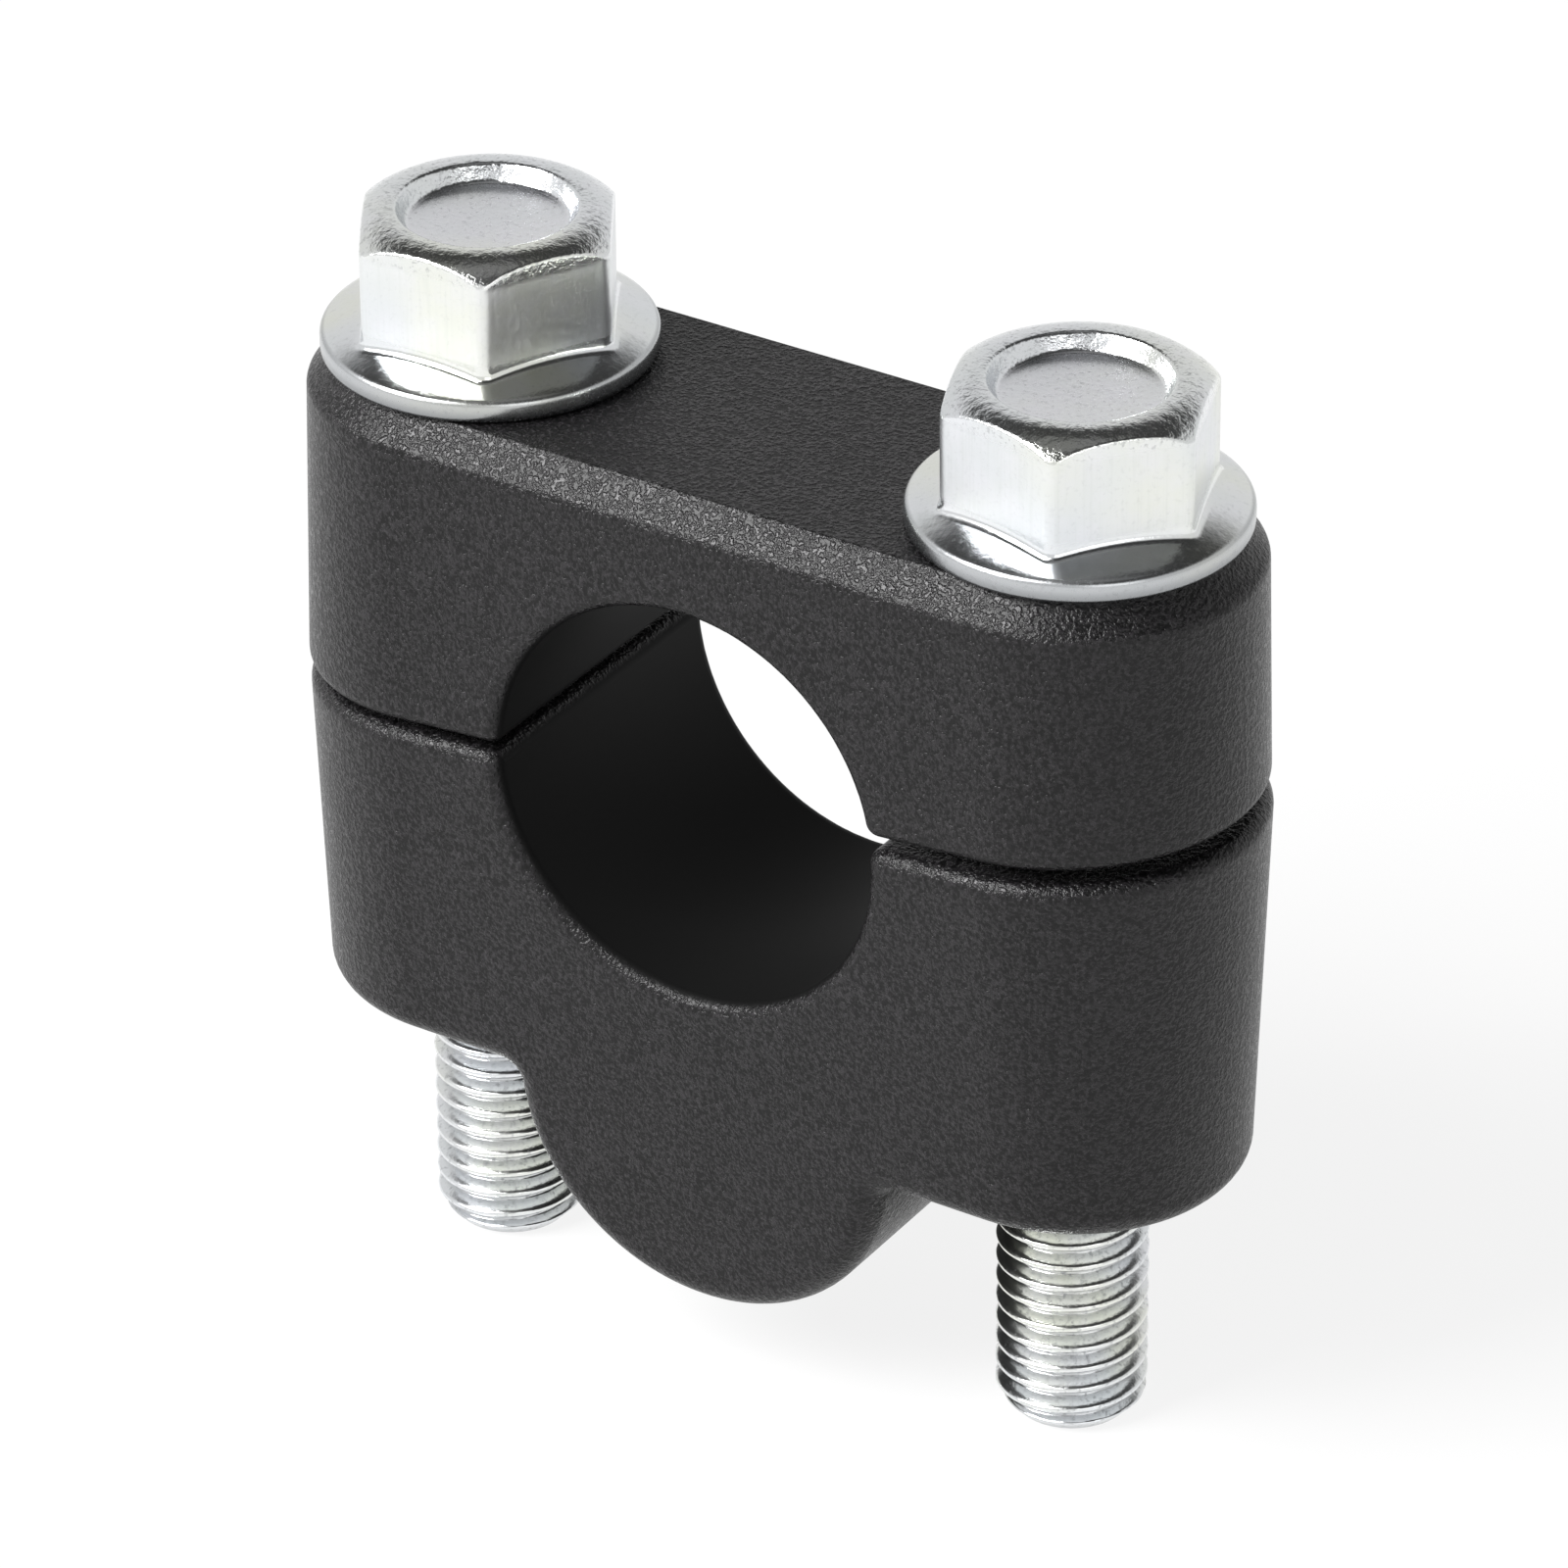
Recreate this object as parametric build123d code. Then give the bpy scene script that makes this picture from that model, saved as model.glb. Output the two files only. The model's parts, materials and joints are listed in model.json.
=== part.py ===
"""Handlebar riser: a cast block and a cast cap that clamp a bar, held by two flange bolts.

Millimetres. The origin is the centre of the clamped bar, midway along the clamp. +Y runs along
the bar, +X from the left bolt to the right bolt, and +Z up, away from the motorcycle.
"""
from build123d import *
import math
import os

os.makedirs("parts", exist_ok=True)

# Bar and the way the riser sits on the motorcycle's own clamp
bar_diameter = 22.2
lobe_diameter = 22.2
rise = 19.0
seat_drop = 0.35

# Castings
casting_width = 19.6
cap_draft = 1.3
block_draft = 2.0
crown_thickness = 6.25
web_thickness = 2.1

# Parting between the castings, which climbs from the left end to the right end
parting_height = 0.55
parting_slope = 3.6
left_gap = 0.32
right_gap = 0.75
draft_margin = 4.0

# Rounded edges of the castings
cap_edge_inset = 1.45
cap_edge_drop = 1.65
cap_edge_round = 0.8
cap_rim_round = 0.15
cap_foot_round = 0.9
block_top_round = 0.8
block_bottom_round = 1.5
lobe_corner_round = 1.0
bore_edge_round = 0.8
hole_edge_bevel = 0.4

# Bolts
bolt_diameter = 7.9
plain_shank_diameter = 7.2
hole_clearance = 0.35
thread_reach = 15.3
thread_pitch = 1.25
thread_depth = 0.7
thread_crest_width = 0.16
thread_root_width = 0.3
head_height = 8.0
head_across_flats = 12.7
head_corner_round = 0.8
flange_diameter = 17.4
flange_rim_height = 1.2
flange_slope = 19.0
flange_rim_round = 0.3
flange_foot_round = 0.45
crown_flat_diameter = 10.2
crown_round = 2.6
recess_diameter = 9.4
recess_depth = 0.9
recess_wall_lean = 0.5
neck_round = 0.25
tip_bevel = 1.0
left_bolt_turn = 1.5
right_bolt_turn = -10.5

# Places that follow from the sizes
bar_radius = bar_diameter / 2
lobe_radius = lobe_diameter / 2
hole_radius = bolt_diameter / 2 + hole_clearance
bolt_offset = bar_radius + web_thickness + hole_radius
end_reach = bolt_offset + casting_width / 2
cap_top = bar_radius + crown_thickness
block_bottom = -rise - seat_drop
lobe_bottom = -rise - lobe_radius
bolt_tip = block_bottom - thread_reach
beyond = 4 * max(casting_width, bar_diameter)


def level(height, climb=0.0):
    """A plane that crosses the Z axis at a height and climbs towards +X, in mm per mm."""
    return Plane(origin=(0, 0, height), x_dir=(1, 0, climb), z_dir=(-climb, 0, 1))


block_climb = math.tan(math.radians(parting_slope))
block_parting = level(parting_height, block_climb)
cap_parting = level(parting_height + (left_gap + right_gap) / 2,
                    block_climb + (right_gap - left_gap) / (2 * end_reach))


def drafted(reach, draft):
    """A rod of the castings' slot outline that narrows upwards and has its full width at z = 0."""
    widening = 2 * draft_margin * math.tan(math.radians(draft))
    outline = SlotCenterToCenter(2 * bolt_offset, casting_width + widening)
    return Pos(0, 0, -draft_margin) * extrude(outline, draft_margin + reach, taper=draft)


def along_bar(radius, height):
    """A bar-wise cylinder that runs past both flanks, with its axis at a height."""
    return Pos(0, 0, height) * Rot(90, 0, 0) * Cylinder(radius, beyond)


def edges_on(solid, plane):
    """Edges that lie wholly in a plane."""
    return [edge for edge in solid.edges()
            if all(abs(plane.to_local_coords(edge @ t).Z) < 1e-3 for t in (0, 0.25, 0.5, 1))]


def bore_edges(solid):
    """The closed loop of edges that bounds the half bore."""
    wall = solid.faces().filter_by(GeomType.CYLINDER).sort_by_distance((0, 0, 0))[0]
    return wall.edges()


def drilled(solid):
    """The casting with its two bolt holes, bevelled at their mouths."""
    for side in (-1, 1):
        solid -= Pos(side * bolt_offset, 0, 0) * Cylinder(hole_radius, beyond)
    return chamfer([edge for edge in solid.edges() if edge.is_closed], hole_edge_bevel)


def clamp_cap():
    """The upper casting, level and bevelled on top, with a sloping parting face below."""
    body = split(drafted(cap_top, cap_draft), bisect_by=cap_parting, keep=Keep.TOP)
    top = body.faces().sort_by(Axis.Z)[-1]
    body = chamfer(top.edges(), cap_edge_inset, cap_edge_drop, reference=top)
    bevel_foot = level(cap_top - cap_edge_drop * math.cos(math.radians(cap_draft)))
    body = fillet(edges_on(body, bevel_foot), cap_edge_round)
    body = fillet(edges_on(body, level(cap_top)), cap_rim_round)
    body = fillet(edges_on(body, cap_parting), cap_foot_round)
    body -= along_bar(bar_radius, 0)
    return drilled(fillet(bore_edges(body), bore_edge_round))


def riser_block():
    """The lower casting: half bore on top, round lobe below that sits in the clamp underneath."""
    body = Rot(180, 0, 0) * drafted(-lobe_bottom, block_draft)
    body = split(body, bisect_by=block_parting, keep=Keep.BOTTOM)
    wings = split(body, bisect_by=level(block_bottom), keep=Keep.TOP)
    lobe = split(body & along_bar(lobe_radius, -rise), bisect_by=level(block_bottom), keep=Keep.BOTTOM)
    body = wings + lobe
    corners = [edge for edge in edges_on(body, level(block_bottom))
               if abs(abs(edge.center().X) - lobe_radius) < 0.1 and abs(edge.center().Y) < 0.1]
    body = fillet(corners, lobe_corner_round)
    rim = [edge for edge in body.edges() if edge.center().Z < block_bottom + lobe_corner_round
           and (abs(edge.center().Y) > casting_width / 3 or abs(edge.center().X) > bolt_offset)]
    body = fillet(rim, block_bottom_round)
    body = fillet(edges_on(body, block_parting), block_top_round)
    body -= along_bar(bar_radius, 0)
    return drilled(fillet(bore_edges(body), bore_edge_round))


def rings(solid, radius):
    """Circular edges of a radius, lowest first."""
    circles = [edge for edge in solid.edges().filter_by(GeomType.CIRCLE) if abs(edge.radius - radius) < 1e-4]
    return sorted(circles, key=lambda edge: edge.center().Z)


def thread_rings(low, high, radius):
    """Points up the section of the thread, as level grooves one pitch apart that stand for its turns."""
    mouth_half = (thread_pitch - thread_crest_width) / 2
    root_half = thread_root_width / 2
    root = radius - thread_depth
    middles = [low + thread_pitch * (turn + 0.5) for turn in range(int((high - low) / thread_pitch))]
    return [point for z in middles for point in ((radius, z - mouth_half), (root, z - root_half),
                                                 (root, z + root_half), (radius, z + mouth_half))]


def flange_bolt(side, turn):
    """A hexagon flange bolt, seated on the cap. Its thread begins where it leaves the block."""
    thread = bolt_diameter / 2
    shank = plain_shank_diameter / 2
    rim = flange_diameter / 2
    flange_peak = flange_rim_height + rim * math.tan(math.radians(flange_slope))
    seat = block_bottom - cap_top
    tip = bolt_tip - cap_top
    profile = Polyline((0, tip), (thread - tip_bevel, tip), (thread, tip + tip_bevel),
                       *thread_rings(tip + tip_bevel, seat, thread), (thread, seat),
                       (shank, seat + thread - shank), (shank, 0), (rim, 0), (rim, flange_rim_height),
                       (0, flange_peak), close=True)
    body = revolve(Plane.XZ * make_face(profile), Axis.Z)
    body = fillet(rings(body, rim)[-1], flange_rim_round)
    body = fillet(rings(body, rim)[0], flange_foot_round)
    body = fillet(rings(body, shank)[-1], neck_round)

    hexagon = RegularPolygon(head_across_flats / 2, 6, major_radius=False, rotation=turn)
    head = extrude(fillet(hexagon.vertices(), head_corner_round), head_height)
    crown_reach = crown_flat_diameter / 2 + crown_round
    crown = Pos(0, 0, head_height / 2) * Cylinder(crown_reach, head_height)
    head &= fillet(rings(crown, crown_reach)[-1], crown_round)
    recess = Cone(recess_diameter / 2 - recess_wall_lean, recess_diameter / 2, recess_depth)
    head -= Pos(0, 0, head_height - recess_depth / 2) * recess
    return Pos(side * bolt_offset, 0, cap_top) * (body + head)


pieces = {
    "clamp_cap": clamp_cap(),
    "riser_block": riser_block(),
    "flange_bolt_left": flange_bolt(-1, left_bolt_turn),
    "flange_bolt_right": flange_bolt(1, right_bolt_turn),
}
for name, piece in pieces.items():
    export_step(piece, f"parts/{name}.step")
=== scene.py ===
"""Handlebar riser: black grained castings, zinc plated flange bolts with real threads, a pale studio.

Metres, in the frame of the solids: the origin is the centre of the clamped bar, +Y runs along the
bar, +X from the left bolt to the right bolt, and +Z up. The castings carry their solids' own skins,
and the bolts are surfaces worked out with numpy.
"""
import json

import bmesh
import bpy
import numpy as np
from mathutils import Matrix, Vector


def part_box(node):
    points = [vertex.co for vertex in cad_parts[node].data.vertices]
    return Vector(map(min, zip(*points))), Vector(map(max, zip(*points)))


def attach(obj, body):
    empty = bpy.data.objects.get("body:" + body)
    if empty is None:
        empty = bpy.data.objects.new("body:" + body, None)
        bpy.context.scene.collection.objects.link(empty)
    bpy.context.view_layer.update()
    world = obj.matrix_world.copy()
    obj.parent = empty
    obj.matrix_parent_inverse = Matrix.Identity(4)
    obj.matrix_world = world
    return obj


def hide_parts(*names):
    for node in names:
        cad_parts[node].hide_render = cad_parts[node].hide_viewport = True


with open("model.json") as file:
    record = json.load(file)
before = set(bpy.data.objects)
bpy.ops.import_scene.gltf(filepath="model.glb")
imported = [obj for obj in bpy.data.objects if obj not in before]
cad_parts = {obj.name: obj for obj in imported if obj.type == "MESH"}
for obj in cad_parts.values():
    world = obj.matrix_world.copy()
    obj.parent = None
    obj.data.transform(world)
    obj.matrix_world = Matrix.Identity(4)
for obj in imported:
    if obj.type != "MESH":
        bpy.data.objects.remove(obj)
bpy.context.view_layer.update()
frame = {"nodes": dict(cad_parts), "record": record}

mm = 0.001

# Places taken from the solids and the record
mounts = {mount["name"]: mount for mount in frame["record"]["mounts"]}
seat_height = mounts["mounting_bolts"]["pos_m"][2]
thread_radius = mounts["mounting_bolts"]["dims"]["stud_r_mm"] * mm
bar_radius = mounts["bar_clamp"]["dims"]["r_mm"] * mm
cap_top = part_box("clamp_cap")[1].z
bolt_low, bolt_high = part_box("flange_bolt_left")
flange_radius = (bolt_high.x - bolt_low.x) / 2
bolt_offset = -(bolt_high.x + bolt_low.x) / 2
head_top = bolt_high.z
bolt_tip = bolt_low.z

# Castings
same_point = 0.0005 * mm
sharp_edge = np.radians(28)

# Bolt head, with each head's turn about its axis in degrees
across_flats = 12.7 * mm
corner_round = 0.8 * mm
crown_flat = 5.1 * mm
crown_round = 2.6 * mm
recess_radius = 4.7 * mm
recess_depth = 0.9 * mm
recess_lean = 0.5 * mm
recess_foot = 0.22 * mm
recess_edge = 0.16 * mm
recess_inset = 0.02 * mm
floor_dish = 0.06 * mm
facet_edge = 0.16 * mm
facet_foot = 0.42 * mm
flange_rim_height = 1.2 * mm
flange_climb = 0.344
flange_edge = 0.3 * mm
flange_foot = 0.45 * mm
head_turns = {"left": 1.5, "right": -10.5}

# Bolt shank and M8 thread
shank_radius = 3.6 * mm
neck_round = 0.25 * mm
pitch = 1.25 * mm
thread_depth = 0.7 * mm
crest_width = 0.15 * mm
thread_top = seat_height + thread_radius - shank_radius
tip_bevel = 1.0 * mm
tip_round = 0.1 * mm
tip_dish = 0.05 * mm

# How finely the bolts are drawn
columns = 252
corner_crowding = 0.62
rows_per_pitch = 20

# Studio
floor_reach = 3.0
floor_gap = 0.02 * mm
floor_glow = 0.85
diffuse_light = 0.3
side_light = 0.76
overhead_dimming = 0.72
zenith_light = 0.14
lamps = {
    "key": {"direction": (-0.42, -0.6, 0.68), "distance": 0.9, "width": 0.5, "power": 14.0},
    "front": {"direction": (0.02, -0.72, 0.69), "distance": 0.9, "width": 0.24, "power": 0.45},
    "fill": {"direction": (0.75, -0.55, 0.35), "distance": 1.1, "width": 0.6, "power": 1.0},
}


class Socket:
    """A shader value. Arithmetic on it adds the Math nodes that work it out."""

    def __init__(self, tree, link):
        self.tree = tree
        self.link = link

    def math(self, operation, *values):
        return self.tree.node("ShaderNodeMath", {"operation": operation}, *values)

    def __add__(self, other):
        return self.math("ADD", self, other)

    def __sub__(self, other):
        return self.math("SUBTRACT", self, other)

    def __mul__(self, other):
        return self.math("MULTIPLY", self, other)

    def __pow__(self, other):
        return self.math("POWER", self, other)

    def __rsub__(self, other):
        return self.math("SUBTRACT", other, self)

    __radd__ = __add__
    __rmul__ = __mul__

    def size(self):
        return self.math("ABSOLUTE", self)

    def clamp(self, low, high):
        return self.math("MAXIMUM", self.math("MINIMUM", self, high), low)

    def rise(self, low, high):
        """0 below low, 1 above high, and a smooth step between them."""
        settings = {"interpolation_type": "SMOOTHSTEP"}
        return self.tree.node("ShaderNodeMapRange", settings, self, low, high, 0.0, 1.0)


class Tree:
    """A node tree that is filled by calls."""

    def __init__(self, owner):
        owner.use_nodes = True
        self.nodes = owner.node_tree.nodes
        self.links = owner.node_tree.links
        self.nodes.clear()

    def fill(self, socket, value):
        """Links a shader value to a socket, or sets a constant on it."""
        if isinstance(value, Socket):
            self.links.new(value.link, socket)
        else:
            socket.default_value = value

    def node(self, kind, settings=None, *values, out=0, **named):
        """Adds a node with its settings, and fills its sockets by place or by name."""
        made = self.nodes.new(kind)
        for setting, value in (settings or {}).items():
            setattr(made, setting, value)
        for place, value in enumerate(values):
            self.fill(made.inputs[place], value)
        for name, value in named.items():
            self.fill(made.inputs[name.replace("_", " ")], value)
        return Socket(self, made.outputs[out]) if made.outputs else None

    def blend(self, factor, first, second):
        """A colour between two colours."""
        mixed = self.nodes.new("ShaderNodeMix")
        mixed.data_type = "RGBA"
        self.fill(mixed.inputs[0], factor)
        for place, colour in ((6, first), (7, second)):
            self.fill(mixed.inputs[place], colour if isinstance(colour, Socket) else (*colour, 1.0))
        return Socket(self, mixed.outputs[2])

    def noise(self, where, scale, detail, roughness):
        """Cloudy noise from 0 to 1, with features about 1 / scale metres wide."""
        return self.node("ShaderNodeTexNoise", {}, Vector=where, Scale=scale, Detail=detail,
                         Roughness=roughness)

    def place(self, stretch=(1.0, 1.0, 1.0)):
        """The piece's own coordinates, in metres, stretched along each axis."""
        where = self.node("ShaderNodeTexCoord", {}, out=3)
        return self.node("ShaderNodeMapping", {}, Vector=where, Scale=stretch)

    def part_of(self, where, axis):
        """One coordinate of a place."""
        return self.node("ShaderNodeSeparateXYZ", {}, where, out=axis)

    def bump(self, height, strength, distance):
        """A normal that follows a height map."""
        return self.node("ShaderNodeBump", {}, Strength=strength, Distance=distance, Height=height)

    def ray_kinds(self):
        """Whether a ray comes straight from the camera, off a glossy surface or through one."""
        paths = self.nodes.new("ShaderNodeLightPath").outputs
        return [Socket(self, paths[f"Is {kind} Ray"]) for kind in ("Camera", "Glossy", "Transmission")]


def black_coat():
    """Satin black baked coating: fine worm-like grain that glints where light grazes it.

    The grain's colour also holds painted glints, sparse lighter specks. The wall of the half bore,
    within the bar's radius of the origin's axis, is painted near black as painted shade, and is
    rougher and less glossy.
    """
    made = bpy.data.materials.new("black_coat")
    tree = Tree(made)
    where = tree.place()
    grain = tree.noise(where, 3500.0, 2.0, 0.55)
    fleck = tree.noise(where, 5600.0, 1.5, 0.5)
    cloud = tree.noise(where, 160.0, 3.0, 0.55)
    peak = (0.65 * grain + 0.35 * fleck).rise(0.4, 0.63)
    # The colour is lighter at the grain's peaks, in clouds and in sparse specks; the sparse specks are
    # painted glints.
    painted_glint = fleck.rise(0.55, 0.7)
    colour = tree.blend(0.45 * peak + 0.4 * painted_glint + 0.15 * cloud,
                        (0.0004, 0.0004, 0.0004), (0.026, 0.024, 0.0263))
    coat = tree.node("ShaderNodeBsdfPrincipled", {}, Base_Color=colour, Specular_IOR_Level=0.29,
                     Roughness=0.37 - 0.13 * peak + 0.06 * (cloud - 0.5),
                     Normal=tree.bump(peak + 0.3 * cloud, 1.0, 0.042 * mm))
    # Painted shade: the half bore's wall gets this near-black, rough coat where shade falls inside it.
    bore_shade_coat = tree.node("ShaderNodeBsdfPrincipled", {}, Base_Color=(0.004, 0.004, 0.004, 1.0),
                     Specular_IOR_Level=0.12, Roughness=0.6)
    across = tree.node("ShaderNodeVectorMath", {"operation": "MULTIPLY"}, where, (1.0, 0.0, 1.0))
    radius = tree.node("ShaderNodeVectorMath", {"operation": "LENGTH"}, across, out=1)
    bore = 1 - radius.rise(bar_radius + 0.05 * mm, bar_radius + 0.3 * mm)
    shader = tree.node("ShaderNodeMixShader", {}, bore, coat, bore_shade_coat)
    tree.node("ShaderNodeOutputMaterial", {}, Surface=shader)
    return made


def zinc_plate():
    """Bright passivated zinc on forged steel, with a finish of its own in each zone of the bolt.

    It is calm in the recess, drawn down the facets and mottled on the crown and the threads, and
    painted shade darkens the flange's rim and its foot, the thread's roots and the plain shank. The
    zones follow from the height and from the distance to the bolt's own axis.
    """
    made = bpy.data.materials.new("zinc_plate")
    tree = Tree(made)
    where = tree.place()
    level = tree.part_of(where, 2)
    off_axis = tree.part_of(where, 0).size() - bolt_offset
    depth = tree.part_of(where, 1)
    radius = (off_axis * off_axis + depth * depth) ** 0.5

    head = level.rise(head_top - 1.4 * mm, head_top - 0.8 * mm)
    bowl = head * (1 - radius.rise(recess_radius - 0.7 * mm, recess_radius - 0.4 * mm))
    crown = head * (1 - bowl)
    facet = level.rise(cap_top + 2.2 * mm, cap_top + 2.7 * mm) * (1 - head)
    # Painted shade: the flange's rim, and its foot by the cap most, are darkened where shade falls
    # under the rim.
    rim = radius.rise(flange_radius - 0.3 * mm, flange_radius - 0.1 * mm)
    rim_foot_shade = rim * (1 - level.rise(cap_top + 0.3 * mm, cap_top + 0.9 * mm))
    thread = 1 - level.rise(seat_height, seat_height + thread_depth)
    # Painted shade: the thread's roots are darkened.
    groove = thread * (1 - radius.rise(thread_radius - thread_depth, thread_radius - 0.2 * mm))
    # Painted shade: the plain shank, inside the castings at rest, is darkened in cloudy patches.
    shank = (1 - level.rise(cap_top - 0.6 * mm, cap_top)) * (1 - thread)

    drawn = tree.noise(tree.place((1.0, 1.0, 0.04)), 3600.0, 2.0, 0.6)
    cloud = tree.noise(where, 420.0, 3.0, 0.6)
    tint = tree.noise(where, 130.0, 1.0, 0.5)
    speck = tree.noise(where, 3600.0, 2.5, 0.6)
    mottle = tree.noise(where, 2300.0, 3.0, 0.65)
    pit = speck.rise(0.54, 0.7)

    colour = tree.blend(tint.rise(0.35, 0.65), (0.79, 0.815, 0.83), (0.84, 0.855, 0.79))
    colour = tree.blend(cloud.rise(0.35, 0.75) * 0.5 + bowl * 0.5, colour, (0.86, 0.86, 0.9))
    colour = tree.blend(drawn.rise(0.45, 0.7) * facet * 0.16, colour, (0.6, 0.63, 0.6))
    # Plating specks, and painted shade on the flange's rim and its foot, the thread's roots and the
    # plain shank, darken the colour.
    specks_and_shade = (pit * (0.08 + 0.3 * crown + 0.35 * thread) + rim * 0.56 + rim_foot_shade * 0.36 + groove * 0.45
             + shank * (0.15 + 0.5 * cloud))
    colour = tree.blend(specks_and_shade, colour, (0.3, 0.31, 0.32))
    roughness = (0.13 + 0.05 * cloud + 0.01 * head + facet * (0.14 + 0.12 * drawn) + 0.08 * pit
                 + 0.1 * rim + 0.05 * bowl + 0.04 * thread + 0.1 * shank)
    height = ((0.45 * drawn + 0.2 * speck) * facet + mottle * (0.4 + 2.6 * crown + 0.6 * thread)
              + 0.2 * speck + 0.3 * cloud)
    shader = tree.node("ShaderNodeBsdfPrincipled", {}, Base_Color=colour, Metallic=1.0,
                       Roughness=roughness, Normal=tree.bump(height, 0.9, 0.02 * mm))
    tree.node("ShaderNodeOutputMaterial", {}, Surface=shader)
    return made


def placed(name, data):
    """A new object in the scene."""
    made = bpy.data.objects.new(name, data)
    bpy.context.collection.objects.link(made)
    return made


def finish_piece(piece, material, body, node):
    """Gives a piece its material and its body, and lets it stand for its solid."""
    piece.data.materials.clear()
    piece.data.materials.append(material)
    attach(piece, body)
    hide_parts(node)


def casting(node, body, material):
    """A casting: its solid's own skin, with its triangles joined and its rounds shaded smooth."""
    mesh = frame["nodes"][node].data.copy()
    skin = bmesh.new()
    skin.from_mesh(mesh)
    bmesh.ops.remove_doubles(skin, verts=skin.verts, dist=same_point)
    for face in skin.faces:
        face.smooth = True
    for edge in skin.edges:
        edge.smooth = len(edge.link_faces) == 2 and edge.calc_face_angle() < sharp_edge
    skin.to_mesh(mesh)
    skin.free()
    piece = placed(f"{node}_coated", mesh)
    even = piece.modifiers.new("even_shading", "WEIGHTED_NORMAL")
    even.keep_sharp = True
    finish_piece(piece, material, body, node)


def hexagon_radius(angle):
    """Distance from the axis to a rounded hexagon, by angle from a corner.

    On a flat it is the half width over the cosine of the angle to the flat's middle. Near a corner
    it is the far crossing of the ray with the corner's own small circle.
    """
    sixth = np.pi / 3
    from_flat = np.abs(angle % sixth - sixth / 2)
    half = across_flats / 2
    centre = (half - corner_round) / np.cos(sixth / 2)
    off = sixth / 2 - from_flat
    on_flat = half / np.cos(from_flat)
    inside = np.maximum(corner_round ** 2 - (centre * np.sin(off)) ** 2, 0)
    on_corner = centre * np.cos(off) + np.sqrt(inside)
    flat_end = np.arctan((half - corner_round) * np.tan(sixth / 2) / half)
    return np.where(from_flat < flat_end, on_flat, on_corner)


def between(start, end, shares):
    """Plain profile corners on the straight line from one (radius, height) to another."""
    return [(start[0] + share * (end[0] - start[0]), start[1] + share * (end[1] - start[1]), 0)
            for share in shares]


def rounded_rows(corners, steps=6):
    """Rows of a profile of (radius, height, round) corners, each the same for all angles or an array.

    A corner with no round is one row. Any other is a parabola from the incoming side to the outgoing
    side, (1-t)^2 a + 2t(1-t) c + t^2 b, where a and b lie the round's length before and after it.
    """
    every_angle = np.zeros(columns)
    points = [np.stack([radius + every_angle, height + every_angle]) for radius, height, _ in corners]
    rows = []
    for place, (_, _, length) in enumerate(corners):
        here = points[place]
        if not length:
            rows.append(here)
            continue
        to_last = points[place - 1] - here
        to_next = points[place + 1] - here
        start = here + to_last / np.linalg.norm(to_last, axis=0) * length
        end = here + to_next / np.linalg.norm(to_next, axis=0) * length
        for t in np.linspace(0, 1, steps):
            rows.append((1 - t) ** 2 * start + 2 * t * (1 - t) * here + t ** 2 * end)
    return np.array(rows)


def crown_height(radius):
    """The crown's height: the head's top, and outside its flat the arc of the crown's round."""
    over = np.clip(radius - crown_flat, 0, crown_round * 0.99)
    return head_top - crown_round + np.sqrt(crown_round ** 2 - over ** 2)


def flange_height(radius):
    """The flange's height, which climbs evenly from its rim towards the axis."""
    return cap_top + flange_rim_height + (flange_radius - radius) * flange_climb


def head_rows(wide):
    """Rows from the middle of the recess to the plain shank, where wide is the hexagon's radius.

    For each angle the profile runs over the dished recess, the rounded crown, down the facet, out
    along the conical flange, back below it to the shank, and down the shank.
    """
    floor = head_top - recess_depth
    foot = recess_radius - recess_lean
    crown_end = (wide, crown_height(wide))
    facet_end = (wide, flange_height(wide))
    rim = (flange_radius, cap_top + flange_rim_height)
    corners = [(foot * share, floor - floor_dish * (1 - share ** 2), 0)
               for share in (0.02, 0.2, 0.4, 0.6, 0.8)]
    corners += [(foot, floor, recess_foot), (recess_radius - recess_inset, head_top, recess_edge),
                (crown_flat, head_top, 0)]
    for share in np.linspace(0, 1, 8)[1:-1]:
        radius = crown_flat + share * (wide - crown_flat)
        corners.append((radius, crown_height(radius), 0))
    corners += [(*crown_end, facet_edge), *between(crown_end, facet_end, (0.3, 0.5, 0.7)),
                (*facet_end, facet_foot), *between(facet_end, rim, (0.45, 0.7)),
                (*rim, flange_edge), (flange_radius, cap_top, flange_foot),
                (shank_radius, cap_top, neck_round),
                *between((shank_radius, cap_top), (shank_radius, thread_top), (0.3, 0.6, 0.98))]
    return rounded_rows(corners)


def thread_rows(angle):
    """Rows of the M8 thread from its top down to the bevelled tip.

    The radius is the crest's less the depth times a smooth ramp of the axial distance to the nearest
    crest, which lies on the helix height = pitch * angle / turn. At the top it runs out into the
    shank, and at the tip it is cut by the bevel's cone.
    """
    rows = int(rows_per_pitch * (thread_top - bolt_tip) / pitch)
    heights = np.linspace(thread_top, bolt_tip, rows)[:, None]
    phase = ((heights - bolt_tip) / pitch - angle / (2 * np.pi)) % 1.0
    from_crest = np.abs(phase - 0.5) * pitch
    ramp = np.clip((from_crest - crest_width / 2) / (pitch / 2 - crest_width), 0, 1)
    groove = thread_depth * (0.45 * ramp + 0.55 * ramp ** 2 * (3 - 2 * ramp))
    run_out = np.clip((thread_top - heights) / pitch, 0, 1)
    radius = shank_radius + (thread_radius - groove - shank_radius) * run_out
    above_tip = heights - bolt_tip
    cone = thread_radius - tip_bevel + above_tip + tip_round * np.exp(-above_tip / tip_bevel)
    return np.stack([np.minimum(radius, cone), heights + 0 * angle], axis=1)


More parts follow.
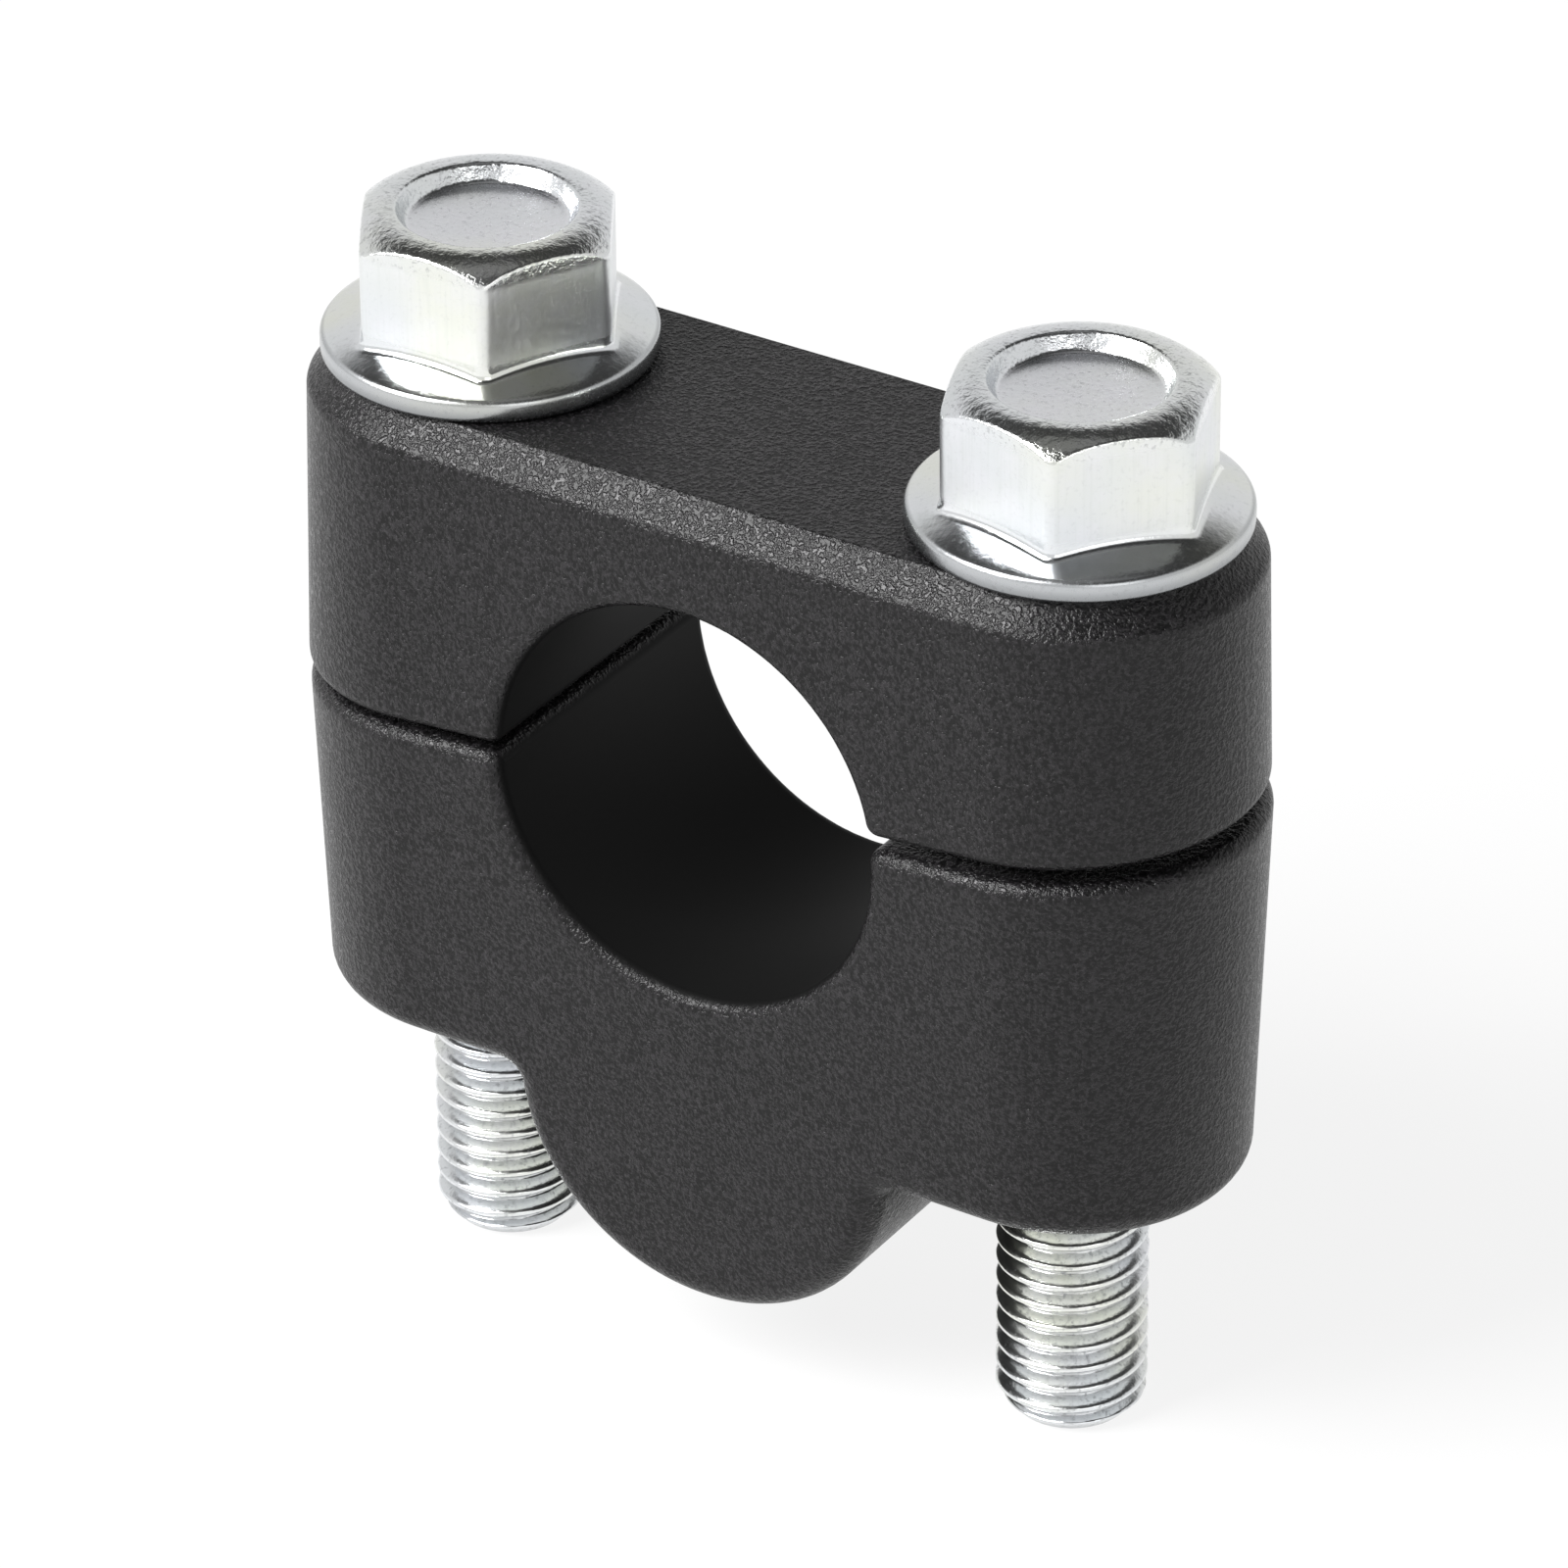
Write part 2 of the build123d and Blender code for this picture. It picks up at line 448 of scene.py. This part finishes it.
def closed_skin(name, radius, height, angle, axis_x):
    """A closed mesh round a vertical axis: rings of quads from the rows, and a fan at each pole."""
    rings = np.stack([axis_x + radius * np.cos(angle), radius * np.sin(angle), height], axis=-1)
    poles = [[axis_x, 0, height[0].mean()], [axis_x, 0, height[-1].mean()]]
    points = np.concatenate([rings.reshape(-1, 3), poles])
    here = np.arange(radius.size).reshape(radius.shape)
    beside = np.roll(here, -1, axis=1)
    quads = np.stack([here[:-1], here[1:], beside[1:], beside[:-1]], axis=-1).reshape(-1, 4)
    top = np.stack([np.full(columns, len(points) - 2), here[0], beside[0]], axis=-1)
    foot = np.stack([np.full(columns, len(points) - 1), beside[-1], here[-1]], axis=-1)
    mesh = bpy.data.meshes.new(name)
    mesh.from_pydata(points, [], [*quads.tolist(), *top.tolist(), *foot.tolist()])
    mesh.shade_smooth()
    return placed(name, mesh)


def flange_bolt(side, material):
    """A hexagon flange bolt as one skin, from the middle of its recess to the middle of its tip.

    The columns crowd towards the hexagon's corners: the angle is even steps less a share of a sixth
    of the sine of six times the step.
    """
    node = f"flange_bolt_{side}"
    low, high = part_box(node)
    even = np.linspace(0, 2 * np.pi, columns, endpoint=False)
    from_corner = even - corner_crowding * np.sin(6 * even) / 6
    angle = from_corner + np.radians(head_turns[side])
    end = between((thread_radius - tip_bevel, bolt_tip), (0, bolt_tip + tip_dish), (0.3, 0.65, 0.95))
    head = head_rows(hexagon_radius(from_corner))
    rows = np.concatenate([head, thread_rows(angle), rounded_rows(end)])
    piece = closed_skin(f"{node}_plated", rows[:, 0], rows[:, 1], angle, (low.x + high.x) / 2)
    finish_piece(piece, material, f"{side}_bolt", node)


def studio_floor():
    """A pale floor just below the bolts' tips, white to the camera where nothing shades it."""
    level = bolt_tip - floor_gap
    mesh = bpy.data.meshes.new("floor")
    corners = [(x * floor_reach, y * floor_reach, level)
               for x, y in ((-1, -1), (1, -1), (1, 1), (-1, 1))]
    mesh.from_pydata(corners, [], [(0, 1, 2, 3)])
    floor = placed("floor", mesh)
    made = bpy.data.materials.new("pale_floor")
    tree = Tree(made)
    seen, mirrored, through = tree.ray_kinds()
    matt = tree.node("ShaderNodeBsdfDiffuse", {}, Color=(0.88, 0.88, 0.88, 1.0))
    glow = tree.node("ShaderNodeEmission", {}, Color=(1.0, 1.0, 1.0, 1.0), Strength=1.0)
    share = floor_glow * (seen + mirrored + through).clamp(0.0, 1.0)
    mixed = tree.node("ShaderNodeMixShader", {}, share, matt, glow)
    tree.node("ShaderNodeOutputMaterial", {}, Surface=mixed)
    floor.data.materials.append(made)


def studio_world():
    """Soft light from all round and white to the camera. In reflections it is dim overhead."""
    world = bpy.data.worlds.new("studio")
    bpy.context.scene.world = world
    tree = Tree(world)
    height = tree.part_of(tree.node("ShaderNodeTexCoord", {}, out=0), 2)
    shown = (side_light - overhead_dimming * height.rise(0.5, 0.72)
             + zenith_light * height.rise(0.9, 0.99))
    seen, mirrored, through = tree.ray_kinds()
    strength = (diffuse_light + (1 - diffuse_light) * (seen + through).clamp(0.0, 1.0)
                + mirrored * (shown - diffuse_light))
    sky = tree.node("ShaderNodeBackground", {}, Color=(1.0, 1.0, 1.0, 1.0), Strength=strength)
    tree.node("ShaderNodeOutputWorld", {}, Surface=sky)


def turned(back, roll):
    """A rotation whose +Z axis is back, with +X level, turned about back by roll."""
    right = np.cross((0, 0, 1), back)
    right /= np.linalg.norm(right)
    up = np.cross(back, right)
    full = np.eye(4)
    full[:3, :3] = np.array([right * np.cos(roll) + up * np.sin(roll),
                             up * np.cos(roll) - right * np.sin(roll), back]).T
    return Matrix(full.tolist())


def softbox(name, direction, distance, width, power):
    """A square lamp that faces the origin from a direction."""
    lamp = bpy.data.lights.new(name, "AREA")
    lamp.shape = "SQUARE"
    lamp.size = width
    lamp.energy = power
    back = np.array(direction) / np.linalg.norm(direction)
    holder = placed(name, lamp)
    holder.matrix_world = turned(back, 0)
    holder.location = back * distance


def studio_camera():
    """A long lens on the photograph's line of sight, aimed at the middle of the object."""
    azimuth = np.radians(32.8)
    elevation = np.radians(30.51)
    roll = np.radians(-0.487)
    distance = 484.4 * mm
    aim_right = 0.065 * mm
    aim_up = -2.759 * mm
    level = np.cos(elevation)
    back = np.array([np.sin(azimuth) * level, -np.cos(azimuth) * level, np.sin(elevation)])
    lens = bpy.data.cameras.new("camera")
    lens.sensor_width = 36.0
    lens.lens = 218.0
    holder = placed("camera", lens)
    holder.matrix_world = turned(back, roll)
    across, upward = (np.array(holder.matrix_world.col[axis][:3]) for axis in (0, 1))
    holder.location = back * distance + across * aim_right + upward * aim_up
    bpy.context.scene.camera = holder


coat = black_coat()
zinc = zinc_plate()
casting("clamp_cap", "cap", coat)
casting("riser_block", "block", coat)
for side in head_turns:
    flange_bolt(side, zinc)

studio_floor()
studio_world()
for name, lamp in lamps.items():
    softbox(name, **lamp)
studio_camera()
bpy.context.scene.view_settings.view_transform = "Standard"
